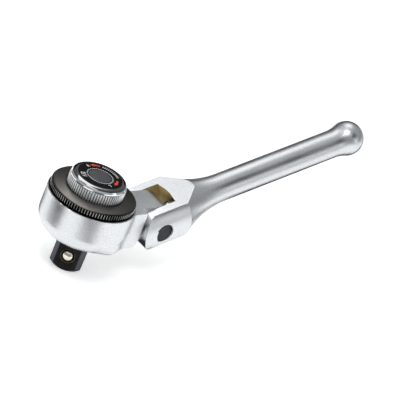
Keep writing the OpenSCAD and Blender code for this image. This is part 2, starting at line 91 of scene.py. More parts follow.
log = logging.getLogger("ratchet")


class Body(Enum):
    """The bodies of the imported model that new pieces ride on."""

    DRIVE = "drive"
    SELECTOR = "selector"


class Slot(Enum):
    """The record's material slots for the new pieces; nothing in this script reads them."""

    LABEL = "gloss_black"
    SPRING = "spring_steel"


class Way(Enum):
    """Which way a mark runs round the dial, seen from above."""

    CLOCKWISE = -1
    COUNTER = 1


class Measure(Enum):
    """How a place on a surface is measured against a line."""

    OUT = "distance from the line"
    ALONG = "travel along the line from its point"
    EITHER = "travel along the line, counted the same both ways"


class Side(Enum):
    """Which side of a level is marked, as the marks below it and above it."""

    BELOW = (1.0, 0.0)
    ABOVE = (0.0, 1.0)


def linear(hex_code: str) -> Colour:
    """Turns an sRGB hex colour into a linear one.

    Args:
        hex_code: Six hex digits, red first.

    Returns:
        Red, green, blue and an alpha of one.
    """
    shares = [int(hex_code[i:i + 2], 16) / 255 for i in (0, 2, 4)]
    red, green, blue = (s / 12.92 if s <= 0.04045 else ((s + 0.055) / 1.055) ** 2.4 for s in shares)
    return red, green, blue, 1.0


def per_metre(size_mm: float) -> float:
    """Gives the pattern scale at which one cell is size_mm wide."""
    return 1 / (size_mm * MM)


def bearing_way(bearing: float) -> Vector:
    """Gives the level direction of a bearing round the drive axis, in degrees from +X."""
    return Vector((math.cos(math.radians(bearing)), math.sin(math.radians(bearing)), 0))


def blank_material(name: str) -> bpy.types.Material:
    """Makes a material with an empty node tree.

    Args:
        name: The material's name.

    Returns:
        The material.
    """
    made = bpy.data.materials.new(name)
    made.use_nodes = True
    made.node_tree.nodes.clear()
    return made


def add_node(tree: Tree, kind: str, inputs: dict[str | int, object] | None = None,
             **settings: object) -> bpy.types.Node:
    """Adds a node with its settings, and sets or links its inputs.

    Args:
        tree: The node tree that takes the node.
        kind: The node's type, such as ShaderNodeTexNoise.
        inputs: A value or an output socket for each input, by name or number.
        **settings: The node's own options.

    Returns:
        The new node.
    """
    node = tree.nodes.new(kind)
    for option, value in settings.items():
        setattr(node, option, value)
    for key, value in (inputs or {}).items():
        if isinstance(value, Socket):
            tree.links.new(value, node.inputs[key])
        else:
            node.inputs[key].default_value = value
    return node


@dataclass(frozen=True)
class Limit:
    """One limit of a patch: the places on one side of a level, measured against a line.

    The line runs through point in the direction way, whose length is one. The mark fades over the last
    stretch before the level.
    """

    point: Vector
    way: Vector
    measure: Measure
    side: Side
    level: float
    fade: float = 0.05 * MM

    def measured(self, tree: Tree, place: Socket) -> Socket:
        """Measures each place against the line.

        Args:
            tree: The material's node tree.
            place: Object coordinates.

        Returns:
            The measure in metres.
        """
        kind = "ShaderNodeVectorMath"
        arm = add_node(tree, kind, {0: place, 1: self.point}, operation="SUBTRACT").outputs["Vector"]
        if self.measure is Measure.OUT:
            moment = add_node(tree, kind, {0: arm, 1: self.way}, operation="CROSS_PRODUCT")
            return add_node(tree, kind, {0: moment.outputs["Vector"]}, operation="LENGTH").outputs["Value"]
        along = add_node(tree, kind, {0: arm, 1: self.way}, operation="DOT_PRODUCT").outputs["Value"]
        if self.measure is Measure.ALONG:
            return along
        return add_node(tree, "ShaderNodeMath", {0: along}, operation="ABSOLUTE").outputs["Value"]

    def mark(self, tree: Tree, place: Socket) -> Socket:
        """Marks the places on the limit's side.

        Args:
            tree: The material's node tree.
            place: Object coordinates.

        Returns:
            One on that side and zero on the other.
        """
        below, above = self.side.value
        return add_node(tree, "ShaderNodeMapRange",
                        {"Value": self.measured(tree, place), "From Min": self.level - self.fade,
                         "From Max": self.level, "To Min": below, "To Max": above},
                        interpolation_type="SMOOTHSTEP").outputs["Result"]


@dataclass(frozen=True)
class Patch:
    """A part of a surface, inside all its limits, with a colour or a roughness of its own."""

    limits: tuple[Limit, ...]
    colour: str | None = None
    roughness: float | None = None

    def mark(self, tree: Tree, place: Socket) -> Socket:
        """Marks the places inside all the limits.

        Args:
            tree: The material's node tree.
            place: Object coordinates.

        Returns:
            One inside the patch and zero outside it.
        """
        inside, *others = [limit.mark(tree, place) for limit in self.limits]
        for other in others:
            both = add_node(tree, "ShaderNodeMath", {0: inside, 1: other}, operation="MULTIPLY")
            inside = both.outputs["Value"]
        return inside


@dataclass(frozen=True)
class Finish:
    """A surface finish: its material's name, its colours and how it reflects.

    grain_mm is the width of its finest marks and relief_mm how deep they are. fleck is the colour of
    their high spots, if it differs. mottle is the colour that it drifts to over stretches mottle_mm wide,
    and spread the drift of its roughness. Later patches lie over earlier ones.
    """

    name: str
    colour: str
    mottle: str
    roughness: float
    metallic: float = 1.0
    grain_mm: float = 0.5
    relief_mm: float = 0.01
    mottle_mm: float = 8.0
    spread: float = 0.04
    ior: float = 1.5
    coat: float = 0.0
    fleck: str | None = None
    patches: tuple[Patch, ...] = ()

    def material(self) -> bpy.types.Material:
        """Makes the finish's material the first time it is asked for.

        Returns:
            The material.
        """
        made = bpy.data.materials.get(self.name)
        if made is not None:
            return made
        made = blank_material(self.name)
        tree = made.node_tree
        place = add_node(tree, "ShaderNodeTexCoord").outputs["Object"]
        shader = add_node(tree, "ShaderNodeBsdfPrincipled",
                          {"Metallic": self.metallic, "Coat Weight": self.coat})
        if self.metallic < 1:
            shader.inputs["IOR"].default_value = self.ior
        add_node(tree, "ShaderNodeOutputMaterial", {"Surface": shader.outputs["BSDF"]})
        marks = {"Vector": place, "Scale": per_metre(self.grain_mm), "Detail": GRAIN_DETAIL}
        grain = add_node(tree, "ShaderNodeTexNoise", marks).outputs["Fac"]
        bump = add_node(tree, "ShaderNodeBump", {"Height": grain, "Distance": self.relief_mm * MM})
        tint, gloss = self.patched(tree, place, *self.drift(tree, place, grain))
        tree.links.new(bump.outputs["Normal"], shader.inputs["Normal"])
        tree.links.new(tint, shader.inputs["Base Color"])
        tree.links.new(gloss, shader.inputs["Roughness"])
        return made

    def drift(self, tree: Tree, place: Socket, grain: Socket) -> tuple[Socket, Socket]:
        """Gives the finish's colour and roughness, which drift over the surface.

        Args:
            tree: The material's node tree.
            place: Object coordinates.
            grain: The height of the grain.

        Returns:
            The colour and the roughness.
        """
        drifts = {"Vector": place, "Scale": per_metre(self.mottle_mm), "Detail": DRIFT_DETAIL}
        broad = add_node(tree, "ShaderNodeTexNoise", drifts).outputs["Fac"]
        tint = linear(self.colour)
        layers = ((broad, MOTTLE_LEVELS, self.mottle), (grain, FLECK_LEVELS, self.fleck))
        for height, levels, colour in layers:
            if colour is None:
                continue
            share = add_node(tree, "ShaderNodeMapRange",
                             {"Value": height, "From Min": levels[0], "From Max": levels[1]},
                             interpolation_type="SMOOTHSTEP").outputs["Result"]
            pair = {MIX_SHARE: share, FIRST_COLOUR: tint, SECOND_COLOUR: linear(colour)}
            tint = add_node(tree, "ShaderNodeMix", pair, data_type="RGBA").outputs[MIXED_COLOUR]
        gloss = add_node(tree, "ShaderNodeMapRange",
                         {"Value": broad, "From Min": GLOSS_LEVELS[0], "From Max": GLOSS_LEVELS[1],
                          "To Min": self.roughness - self.spread, "To Max": self.roughness + self.spread},
                         interpolation_type="SMOOTHSTEP").outputs["Result"]
        return tint, gloss

    def patched(self, tree: Tree, place: Socket, tint: Socket, gloss: Socket) -> tuple[Socket, Socket]:
        """Lays the finish's patches over its colour and roughness.

        Args:
            tree: The material's node tree.
            place: Object coordinates.
            tint: The colour outside the patches.
            gloss: The roughness outside the patches.

        Returns:
            The colour and the roughness with the patches.
        """
        for patch in self.patches:
            inside = patch.mark(tree, place)
            if patch.colour is not None:
                pair = {MIX_SHARE: inside, FIRST_COLOUR: tint, SECOND_COLOUR: linear(patch.colour)}
                tint = add_node(tree, "ShaderNodeMix", pair, data_type="RGBA").outputs[MIXED_COLOUR]
            if patch.roughness is not None:
                pair = {MIX_SHARE: inside, FIRST_VALUE: gloss, SECOND_VALUE: patch.roughness}
                gloss = add_node(tree, "ShaderNodeMix", pair, data_type="FLOAT").outputs[MIXED_VALUE]
        return tint, gloss


def deselect() -> None:
    """Leaves nothing selected, because loading leaves the solids selected."""
    if bpy.context.mode != "OBJECT":
        bpy.ops.object.mode_set(mode="OBJECT")
    bpy.ops.object.select_all(action="DESELECT")


def pick(test: Callable[[Vector], bool]) -> None:
    """Selects the open mesh's points, and what lies between them, by place.

    Args:
        test: Says of a point whether it is wanted.
    """
    bpy.ops.mesh.select_mode(type="VERT")
    bpy.ops.mesh.select_all(action="DESELECT")
    mesh = bpy.context.object.data
    shape = bmesh.from_edit_mesh(mesh)
    for point in shape.verts:
        point.select = test(point.co)
    shape.select_flush(True)
    bmesh.update_edit_mesh(mesh)


def draw_band(share: float) -> None:
    """Draws the open mesh's selected outline to a share of its radius, as a new band."""
    bpy.ops.mesh.extrude_region()
    bpy.ops.transform.resize(value=(share, share, 1), center_override=ORIGIN)


def sweep(degrees: float, steps: int, copies: bool = False) -> None:
    """Sweeps the open mesh's selection, or copies of it, counter-clockwise round the drive axis."""
    bpy.ops.mesh.spin(steps=steps, angle=-math.radians(degrees), center=ORIGIN, axis=UP, dupli=copies)


def thicken(depth: float, height: float) -> None:
    """Gives the open flat mesh its thickness and lifts it to its place.

    Args:
        depth: How thick it becomes.
        height: How far its underside is lifted.
    """
    bpy.ops.mesh.select_all(action="SELECT")
    bpy.ops.mesh.extrude_region()
    bpy.ops.transform.translate(value=(0, 0, depth))
    bpy.ops.mesh.select_all(action="SELECT")
    bpy.ops.mesh.normals_make_consistent(inside=False)
    bpy.ops.transform.translate(value=(0, 0, height))


def settle(name: str, body: Body, finish: Finish) -> bpy.types.Object:
    """Ends the modelling of a piece and gives it its finish and its body.

    Args:
        name: The piece's name.
        body: The body that it rides on.
        finish: Its finish.

    Returns:
        The piece.
    """
    deselect()
    piece = bpy.context.object
    piece.select_set(True)
    bpy.ops.object.transform_apply(location=True, rotation=True, scale=True)
    piece.name = name
    piece.data.name = name
    piece.data.materials.clear()
    piece.data.materials.append(finish.material())
    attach(piece, body.value)
    log.info("%s: %d faces, rides on %s", name, len(piece.data.polygons), body.value)
    deselect()
    return piece


def dress(finish: Finish, *nodes: str) -> None:
    """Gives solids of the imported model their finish.

    Args:
        finish: The finish.
        *nodes: The names of the solids that have it.
    """
    for node in nodes:
        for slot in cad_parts[node].material_slots:
            slot.material = finish.material()
        log.info("%s: dressed in %s", node, finish.name)


def soften(node: str, width_mm: float, segments: int = 2) -> None:
    """Rounds the sharp edges of a solid, as plating and tumbling do.

    Args:
        node: The solid's name.
        width_mm: How far the rounding reaches from an edge.
        segments: How many strips it is made of.
    """
    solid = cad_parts[node]
    weld = solid.modifiers.new("joined_faces", "WELD")
    weld.merge_threshold = WELD
    edge = solid.modifiers.new("soft_edges", "BEVEL")
    edge.width = width_mm * MM
    edge.segments = segments
    edge.limit_method = "ANGLE"
    edge.angle_limit = SHARP
    even = solid.modifiers.new("even_shading", "WEIGHTED_NORMAL")
    even.weight = FACE_WEIGHT
    log.info("%s: edges rounded by %.2f mm", node, width_mm)


# The grain of the finishes below is drawn wider than the real one, which is too fine to show.

# Chrome over bead-blasted steel: a pale, slightly blue satin that spreads every reflection. The blasted
# grain is about 0.1 mm wide and is drawn at 0.4 mm, so that it shows from where the camera stands.
SATIN_CHROME = Finish("satin_chrome_on_blasted_steel", "d8dadc", "e0e2e4", 0.32, grain_mm=0.4,
                      relief_mm=0.055, mottle_mm=14.0, fleck="cbcdcf")

# Bright chrome on turned brass: a mirror on the rim, and a duller knurl, with painted shade in its valleys.
BRIGHT_CHROME = Finish("bright_chrome_on_knurled_brass", "f2f4f5", "e8eaeb", 0.13, grain_mm=0.8,
                       relief_mm=0.001, mottle_mm=5.0, spread=0.03)

# Black oxide: a warm, dark grey satin on the turned ring, cooler on the ground pin and nearly black on
# the forged square.
RING_OXIDE = Finish("black_oxide_on_turned_steel", "53504d", "4a4745", 0.36, grain_mm=0.5,
                    relief_mm=0.006, mottle_mm=6.0, spread=0.05)
PIN_OXIDE = Finish("black_oxide_on_ground_pin", "34373a", "2c2f32", 0.38, grain_mm=0.6,
                   relief_mm=0.006, mottle_mm=3.0)
SQUARE_OXIDE = Finish("black_oxide_on_forged_square", "222223", "1b1b1c", 0.36, grain_mm=0.6,
                      relief_mm=0.01, mottle_mm=4.0)

# Ground tool steel: grey, with fine marks that break up its shine.
GROUND_STEEL = Finish("ground_tool_steel", "8f9194", "9c9ea0", 0.34, grain_mm=0.6,
                      relief_mm=0.008, mottle_mm=5.0)

# Drawn spring wire: smooth and slightly blue.
DRAWN_WIRE = Finish("drawn_spring_wire", "9a9ea3", "a6aaae", 0.28, grain_mm=0.4,
                    relief_mm=0.004, mottle_mm=2.0)

# Polished bearing steel: a clear mirror with a faint warm tone.
BALL_STEEL = Finish("polished_bearing_steel", "e6e1d6", "dbd6cb", 0.08, grain_mm=1.0,
                    relief_mm=0.0005, mottle_mm=2.0, spread=0.02)

# Sintered bronze: a dull brown gold with open pores.
BRONZE = Finish("sintered_bronze", "a9854a", "8f6f3c", 0.45, grain_mm=0.5, relief_mm=0.02, mottle_mm=3.0)

# Moulded nitrile rubber: dull and nearly black.
RUBBER = Finish("moulded_nitrile_rubber", "1c1c1c", "232323", 0.65, metallic=0.0, grain_mm=0.6,
                relief_mm=0.015, mottle_mm=4.0)

# Glossy black moulding: a deep black that mirrors the lamps and the cards.
GLOSS_BLACK = Finish("glossy_black_moulding", "0b0c0d", "101112", 0.07, metallic=0.0, grain_mm=1.5,
                     relief_mm=0.001, mottle_mm=4.0, spread=0.02, ior=1.7, coat=1.0)

# Black printed label: a deep black with hardly any shine, so that the marks on it stand out.
LABEL_BLACK = Finish("black_printed_label", "08080a", "0c0c0d", 0.3, metallic=0.0, grain_mm=0.8,
                     relief_mm=0.002, mottle_mm=3.0, ior=1.15)

# Matte black moulding: spark-eroded tool marks leave a fine, even dullness.
BUTTON_BLACK = Finish("matte_black_moulding", "26282b", "1f2124", 0.5, metallic=0.0, grain_mm=0.5,
                      relief_mm=0.012, mottle_mm=3.0)

# Pad-printed ink: thin, flat colour with a slight orange-peel.
WHITE_INK = Finish("white_pad_printed_ink", "eceded", "dfe0e1", 0.4, metallic=0.0, grain_mm=0.4,
                   relief_mm=0.002, mottle_mm=1.0)
RED_INK = replace(WHITE_INK, name="red_pad_printed_ink", colour="e8401f", mottle="d8361a")

# Studio colours: matt white paper underfoot, and the black of the cards that paint dark reflections, which
# gives hardly any light back.
FLOOR_WHITE = "f0f0f0"
DARK_REFLECTION_BLACK = "0a0a0a"


@dataclass
class Head:
    """The drum with its neck and hinge tongue, and what is held in it."""

    edge_mm: float = 0.3
    edge_segments: int = 3
    mouth_bevel: float = 0.3 * MM
    # The colour of the painted shade line on the drum's mouth, under the ring.
    painted_shade: str = "26272a"

    def build(self) -> None:
        """Dresses the head's solids and rounds the forging's edges."""
        dress(replace(SATIN_CHROME, patches=(self.painted_shade_line(),)), "head_housing")
        soften("head_housing", self.edge_mm, self.edge_segments)
        dress(BRONZE, "thrust_washer")
        dress(DRAWN_WIRE, "retaining_ring")
        dress(RUBBER, "dust_seal")

    def painted_shade_line(self) -> Patch:
        """Gives the dark line of painted shade on the bevel of the drum's mouth, where the ring above
        shades it.
        """
        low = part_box("head_housing")[1].z - self.mouth_bevel
        return Patch((Limit(ORIGIN, UP, Measure.ALONG, Side.ABOVE, low),), colour=self.painted_shade)


@dataclass
class Handle:
    """The forged bar with its fork, and the pieces that steady the hinge."""

    hinge: Vector = field(default_factory=lambda: Vector((33.7, 0, 19.6)) * MM)
    rise: float = math.radians(17.7)
    edge_mm: float = 0.12
    flat_half: float = 8.4 * MM
    flat_fade: float = 0.1 * MM
    flat_reach: float = 30.0 * MM
    flat_roughness: float = 0.36
    slot_half: float = 6.2 * MM
    slot_reach: float = 17.0 * MM
    reach_fade: float = 1.0 * MM
    nickel: str = "f3e3b4"
    nickel_roughness: float = 0.45
    bore_r: float = 3.9 * MM
    # The colour of the painted shade in the mouth of the pin's bore.
    painted_shade: str = "1d1e20"

    def build(self) -> None:
        """Dresses the handle's solids and rounds the fork's edges."""
        dress(replace(SATIN_CHROME, name="satin_chrome_over_nickel", patches=self.fork()), "handle")
        soften("handle", self.edge_mm)
        dress(PIN_OXIDE, "pivot_pin")
        dress(GROUND_STEEL, "friction_plunger")
        dress(DRAWN_WIRE, "plunger_spring")

    def fork(self) -> tuple[Patch, ...]:
        """Gives the fork's matt flats, its inside and the painted shade in the mouth of the pin's bore.

        The inside is thinly plated, so the warm nickel under the chrome shows there.

        Returns:
            The three patches.
        """
        along = Vector((math.cos(self.rise), 0, math.sin(self.rise)))
        lift = along.cross(ACROSS)
        on_flats = Limit(self.hinge, lift, Measure.EITHER, Side.ABOVE, self.flat_half, self.flat_fade)
        between_flats = replace(on_flats, side=Side.BELOW)
        on_fork = Limit(self.hinge, along, Measure.ALONG, Side.BELOW, self.flat_reach, self.reach_fade)
        along_slot = replace(on_fork, level=self.slot_reach)
        in_slot = Limit(self.hinge, ACROSS, Measure.EITHER, Side.BELOW, self.slot_half)
        in_bore = Limit(self.hinge, ACROSS, Measure.OUT, Side.BELOW, self.bore_r)
        flats = Patch((on_flats, on_fork), roughness=self.flat_roughness)
        inside = Patch((in_slot, between_flats, along_slot), self.nickel, self.nickel_roughness)
        # Painted shade: the recess round the pin is darkened as if in shadow.
        bore = Patch((in_bore,), self.painted_shade)
        return flats, inside, bore


@dataclass
class Drive:
    """The drive square, the pawls and covers on it, and the spinner ring."""

    edge_mm: float = 0.15
    square_top: float = 14.1 * MM
    square_fade: float = 0.2 * MM
    corner_bearings: tuple[float, float] = (-4.0, 86.0)
    corner_r: float = 7.8135 * MM
    corner_fade: float = 0.2475 * MM
    # The lighter grey painted on the square's corners.
    corner_grey: str = "4c4d50"
    ball_bearing: float = -139.0
    ball_height: float = 6.4 * MM
    seat_r: float = 2.75 * MM
    seat_w: float = 0.3 * MM
    seat_fade: float = 0.1 * MM
    seat_front: float = 1.0 * MM
    front_fade: float = 0.5 * MM
    brown: str = "5c5340"
    # The grooved edge is painted dark as shade, and its crests light as highlights.
    groove_r: float = 16.8 * MM
    groove_shade: str = "0c0c0c"
    crest_r: float = 17.26 * MM
    crest_fade: float = 0.06 * MM
    crest_highlight: str = "b4b4b0"

    def build(self) -> None:
        """Dresses the drive's solids and rounds the square's edges."""
        dress(replace(SQUARE_OXIDE, patches=(*self.corners(), self.ball_seat())), "drive_spindle")
        soften("drive_spindle", self.edge_mm)
        dress(replace(RING_OXIDE, patches=self.grooves()), "spinner_ring")
        dress(GROUND_STEEL, "carrier_cover", "cover_screws", "pawl_right", "pawl_left", "pawl_pins",
              "release_rod")
        dress(DRAWN_WIRE, "pawl_spring", "detent_spring")
        dress(BALL_STEEL, "locking_ball", "detent_ball")

    def corners(self) -> list[Patch]:
        """Gives the square's corners, which are painted a lighter grey.

        Returns:
            One patch for each pair of opposite corners.
        """
        below_head = Limit(ORIGIN, UP, Measure.ALONG, Side.BELOW, self.square_top, self.square_fade)
        pairs = []
        for bearing in self.corner_bearings:
            way = bearing_way(bearing)
            outside = Limit(ORIGIN, way, Measure.EITHER, Side.ABOVE, self.corner_r, self.corner_fade)
            pairs.append(Patch((below_head, outside), self.corner_grey))
        return pairs

    def ball_seat(self) -> Patch:
        """Gives the brown ring of the ball's seat.

        Returns:
            The patch.
        """
        ball = UP * self.ball_height
        out = bearing_way(self.ball_bearing)
        in_front = Limit(ball, out, Measure.ALONG, Side.ABOVE, self.seat_front, self.front_fade)
        round_ball = Limit(ball, out, Measure.OUT, Side.ABOVE, self.seat_r, self.seat_fade)
        within = replace(round_ball, side=Side.BELOW, level=self.seat_r + self.seat_w)
        return Patch((in_front, round_ball, within), self.brown)

    def grooves(self) -> tuple[Patch, Patch]:
        """Gives the ring's grooved edge, painted dark as shade in its grooves, and its crests, painted
        light as highlights.

        Returns:
            The two patches.
        """
        on_edge = Limit(ORIGIN, UP, Measure.OUT, Side.ABOVE, self.groove_r)
        on_crests = replace(on_edge, level=self.crest_r, fade=self.crest_fade)
        return Patch((on_edge,), self.groove_shade), Patch((on_crests,), self.crest_highlight)


@dataclass
class ReleaseCoil:
    """The button's spring, wound at its full length; the real one shortens as the button goes down."""

    wire: float = 0.4 * MM
    turns: int = 6
    sides: int = 10
    steps: int = 24
    travel: float = 2.0 * MM

    def build(self) -> None:
        """Winds the spring in its solid's place."""
        low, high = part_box("release_spring")
        length = high.z - low.z
        deselect()
        bpy.ops.mesh.primitive_circle_add(vertices=self.sides, radius=self.wire,
                                          rotation=(math.pi / 2, 0, 0),
                                          location=(high.x - self.wire, 0, low.z + self.wire))
        bpy.ops.object.transform_apply(location=True, rotation=True, scale=True)
        winding = bpy.context.object.modifiers.new("turns", "SCREW")
        winding.steps = self.steps
        winding.render_steps = self.steps
        winding.iterations = self.turns
        winding.screw_offset = (length - 2 * self.wire) / self.turns
        bpy.ops.object.modifier_apply(modifier=winding.name)
        bpy.ops.object.mode_set(mode="EDIT")
        bpy.ops.mesh.select_all(action="SELECT")
        bpy.ops.mesh.fill_holes(sides=0)
        bpy.ops.mesh.normals_make_consistent(inside=False)
        bpy.ops.mesh.faces_shade_smooth()
        bpy.ops.object.mode_set(mode="OBJECT")
        coil = settle("release_coil", Body.DRIVE, DRAWN_WIRE)
        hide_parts("release_spring")
        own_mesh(coil)


@dataclass
class Selector:
    """The dial with its black cap, the printed label in it and the release button."""

    knurl_top: float = 39.0 * MM
    knurl_fade: float = 0.1 * MM
    knurl_roughness: float = 0.45
    valley_top: float = 11.34 * MM
    valley_fade: float = 0.16 * MM
    # The colour of the painted shade in the knurl's valleys.
    valley_shade: str = "303132"
    button_edge_mm: float = 0.12
    label_sink: float = 0.15 * MM
    film: float = 0.02 * MM
    ink: float = 0.03 * MM
    label_r: float = 9.05 * MM
    border: float = 0.22 * MM
    border_rise: float = 0.04 * MM
    border_slack: float = 0.01 * MM
    hole_r: float = 5.0 * MM
    ring_r: float = 5.22 * MM
    ring_w: float = 0.14 * MM
    tick_w: float = 0.15 * MM
    tick_len: float = 0.4 * MM
    tick_count: int = 36
    type_bold: float = 0.05 * MM
    type_steps: int = 3
    arrow_w: float = 0.85 * MM
    arrow_head: float = 15.0
    arrow_flare: float = 2.1
    arrow_steps: int = 6
    arrow_slack: float = math.radians(0.5)
    bar_len: float = 1.1 * MM
    bar_w: float = 0.3 * MM
    bar_steps: int = 10
    floor: float = field(init=False)

    def __post_init__(self) -> None:
        """Finds the label's place from the cap."""
        self.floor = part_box("selector_cap")[1].z - self.label_sink

    def build(self) -> None:
        """Dresses the selector's solids and models the label and its marks."""
        dress(replace(BRIGHT_CHROME, patches=self.knurl()), "selector_dial")
        dress(GLOSS_BLACK, "selector_cap")
        dress(GROUND_STEEL, "selector_cam")
        dress(BUTTON_BLACK, "release_button")
        soften("release_button", self.button_edge_mm)
        self.label()
        self.letter("mark_right", "R", size_mm=2.0, bearing=95, radius_mm=7.3)
        self.letter("mark_left", "L", size_mm=2.0, bearing=-90, radius_mm=6.7)
        self.letter("mark_size", "1/2", size_mm=2.9, bearing=163, radius_mm=6.9)
        self.arrow("arrow_right", start=54, end=86, radius_mm=7.7, way=Way.COUNTER)
        self.arrow("arrow_left", start=-36, end=-71, radius_mm=7.0, way=Way.CLOCKWISE)
        self.button_ring()
        self.scale("dial_scale", start=44, end=-15, radius_mm=7.75)

    def knurl(self) -> tuple[Patch, Patch]:
        """Gives the knurl, which the rolling left rough, and the painted shade in its valleys.

        Returns:
            The two patches.
        """
        below_rim = Limit(ORIGIN, UP, Measure.ALONG, Side.BELOW, self.knurl_top, self.knurl_fade)
        in_valleys = Limit(ORIGIN, UP, Measure.OUT, Side.BELOW, self.valley_top, self.valley_fade)
        rough = Patch((below_rim,), roughness=self.knurl_roughness)
        valleys = Patch((in_valleys, below_rim), self.valley_shade)
        return rough, valleys

    def label(self) -> None:
        """Models the label: a ring of film with a fine raised border."""
        deselect()
        bpy.ops.mesh.primitive_circle_add(vertices=ROUND, radius=self.label_r, enter_editmode=True)
        bpy.ops.mesh.select_all(action="SELECT")
        inner = self.label_r - self.border
        foot = inner - self.border / 2
        draw_band(inner / self.label_r)
        draw_band(foot / inner)
        draw_band(self.hole_r / foot)
        pick(lambda point: point.xy.length > inner - self.border_slack)
        bpy.ops.transform.translate(value=(0, 0, self.border_rise))
        thicken(self.film, self.floor)
        settle("cap_label", Body.SELECTOR, LABEL_BLACK)

    def print_mark(self, name: str, finish: Finish) -> None:
        """Thickens the flat mark that is open and lays it on the label.

        Args:
            name: The piece's name.
            finish: Its ink.
        """
        bpy.ops.mesh.select_all(action="SELECT")
        bpy.ops.mesh.remove_doubles(threshold=HAIR)
        thicken(self.ink, self.floor + self.film)
        settle(name, Body.SELECTOR, finish)

    def letter(self, name: str, text: str, size_mm: float, bearing: float, radius_mm: float) -> None:
        """Prints a letter or number with its top outwards.

        Args:
            name: The piece's name.
            text: What is printed.
            size_mm: The height of the type.
            bearing: Its middle's bearing round the drive axis, in degrees.
            radius_mm: Its middle's distance from the axis.
        """
        deselect()
        bpy.ops.object.text_add()
        words = bpy.context.object
        words.data.body = text
        words.data.size = size_mm * MM
        words.data.align_x = "CENTER"
        words.data.align_y = "CENTER"
        words.data.offset = self.type_bold
        words.data.resolution_u = self.type_steps
        bpy.ops.object.convert(target="MESH")
        words.rotation_euler.z = math.radians(bearing) - math.pi / 2
        words.location = bearing_way(bearing) * radius_mm * MM
        bpy.ops.object.transform_apply(location=True, rotation=True, scale=True)
        bpy.ops.object.mode_set(mode="EDIT")
        self.print_mark(name, WHITE_INK)

    def stroke(self, bearing: float, radius_mm: float, length: float, width: float) -> None:
        """Opens a flat stroke that runs outwards from the drive axis.

        Args:
            bearing: The stroke's bearing in degrees.
            radius_mm: Its middle's distance from the axis.
            length: Its length.
            width: Its width.
        """
        deselect()
        bpy.ops.mesh.primitive_plane_add(size=1)
        plane = bpy.context.object
        plane.scale = (length, width, 1)
        plane.rotation_euler.z = math.radians(bearing)
        plane.location = bearing_way(bearing) * radius_mm * MM
        bpy.ops.object.transform_apply(location=True, rotation=True, scale=True)
        bpy.ops.object.mode_set(mode="EDIT")
        bpy.ops.mesh.select_all(action="SELECT")

    def arrow(self, name: str, start: float, end: float, radius_mm: float, way: Way) -> None:
        """Prints a red arrow that follows the dial.

        Args:
            name: The piece's name.
            start: The bearing of its tail, in degrees.
            end: The bearing of its tip.
            radius_mm: The radius of its middle line.
            way: Which way it points.
        """
        neck = end - self.arrow_head * way.value
        middle = bearing_way(neck) * radius_mm * MM
        tip = bearing_way(end) * radius_mm * MM
        self.stroke(start, radius_mm, self.arrow_w, HAIR)
        bpy.ops.mesh.remove_doubles(threshold=2 * HAIR)
        sweep(neck - start, self.arrow_steps)
        pick(lambda point: abs(point.xy.angle_signed(middle.xy)) < self.arrow_slack)
        bpy.ops.mesh.extrude_region()
        bpy.ops.transform.resize(value=(self.arrow_flare, self.arrow_flare, 1), center_override=middle)
        bpy.ops.mesh.extrude_region()
        bpy.ops.transform.translate(value=tip - middle)
        bpy.ops.mesh.merge(type="CENTER")
        self.print_mark(name, RED_INK)

    def button_ring(self) -> None:
        """Prints the thin white ring round the button with its ticks."""
        self.stroke(0, (self.ring_r + self.tick_len / 2) / MM, self.tick_len, self.tick_w)
        sweep(-360, self.tick_count, copies=True)
        bpy.ops.mesh.primitive_circle_add(vertices=ROUND, radius=self.ring_r)
        draw_band(1 - self.ring_w / self.ring_r)
        self.print_mark("button_ring", WHITE_INK)

    def scale(self, name: str, start: float, end: float, radius_mm: float) -> None:
        """Prints a row of plain strokes along the rim of the label.

        Args:
            name: The piece's name.
            start: The bearing of the first stroke, in degrees.
            end: The bearing of the last stroke.
            radius_mm: The radius of the row's middle.
        """
        self.stroke(start, radius_mm, self.bar_len, self.bar_w)
        sweep(end - start, self.bar_steps, copies=True)
        self.print_mark(name, WHITE_INK)


@dataclass(frozen=True)
class Softbox:
    """A flat lamp that faces the tool, as bright on white paper as share says.

    Its bearing and elevation are in degrees, its sizes in metres.
    """

    name: str
    bearing: float
    elevation: float
    width: float
    height: float
    share: float
    distance: float = 0.9

    def hang(self, target: Vector) -> None:
        """Hangs the lamp round the target.

        Args:
            target: The point that it faces.
        """
        rise = math.radians(self.elevation)
        away = bearing_way(self.bearing) * math.cos(rise) + UP * math.sin(rise)
        lamp = bpy.data.lights.new(self.name, "AREA")
        lamp.shape = "RECTANGLE"
        lamp.size = self.width
        lamp.size_y = self.height
        lamp.energy = self.share * (math.pi * self.distance) ** 2
        holder = bpy.data.objects.new(self.name, lamp)
        holder.location = target + away * self.distance
        holder.rotation_euler = away.to_track_quat("Z", "Y").to_euler()
        bpy.context.scene.collection.objects.link(holder)
        log.info("%s: lamp of %.2f W", self.name, lamp.energy)


